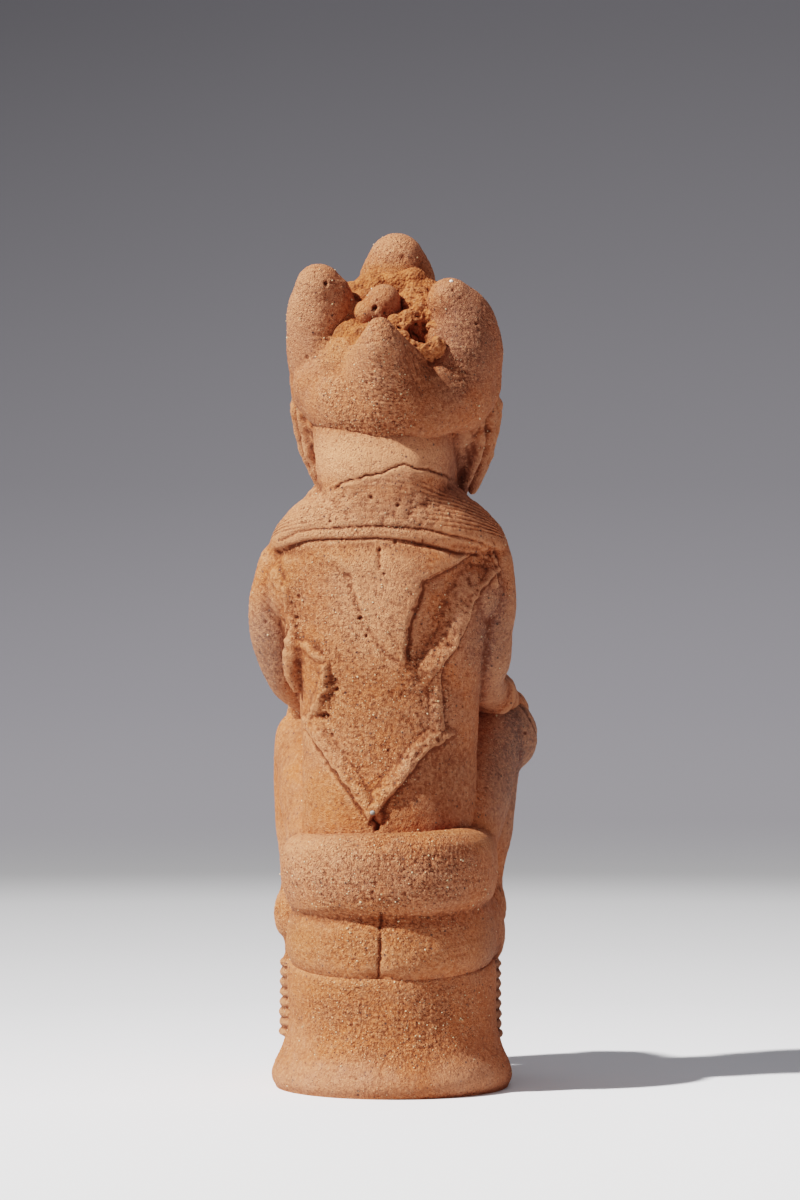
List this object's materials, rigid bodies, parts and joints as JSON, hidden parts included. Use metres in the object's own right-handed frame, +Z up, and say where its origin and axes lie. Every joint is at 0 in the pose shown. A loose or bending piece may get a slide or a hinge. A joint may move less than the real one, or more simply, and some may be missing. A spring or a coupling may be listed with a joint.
{
  "type": "nok terracotta figure",
  "caption": "Seated terracotta figure on a flared drum seat, knees drawn up, hands on the knees, with a strand collar, anklets and a lobed coiffure.",
  "frame": {"origin": "centre of the drum seat's flat underside", "axes": "+Z up, -Y towards the figure's face and feet, +X towards the figure's left hand"},
  "size_m": [0.1222, 0.1406, 0.375],
  "materials": {
    "terracotta": "matte, gritty unglazed clay"
  },
  "bodies": {
    "root": {"nok_figure": "terracotta"}
  },
  "joints": []
}
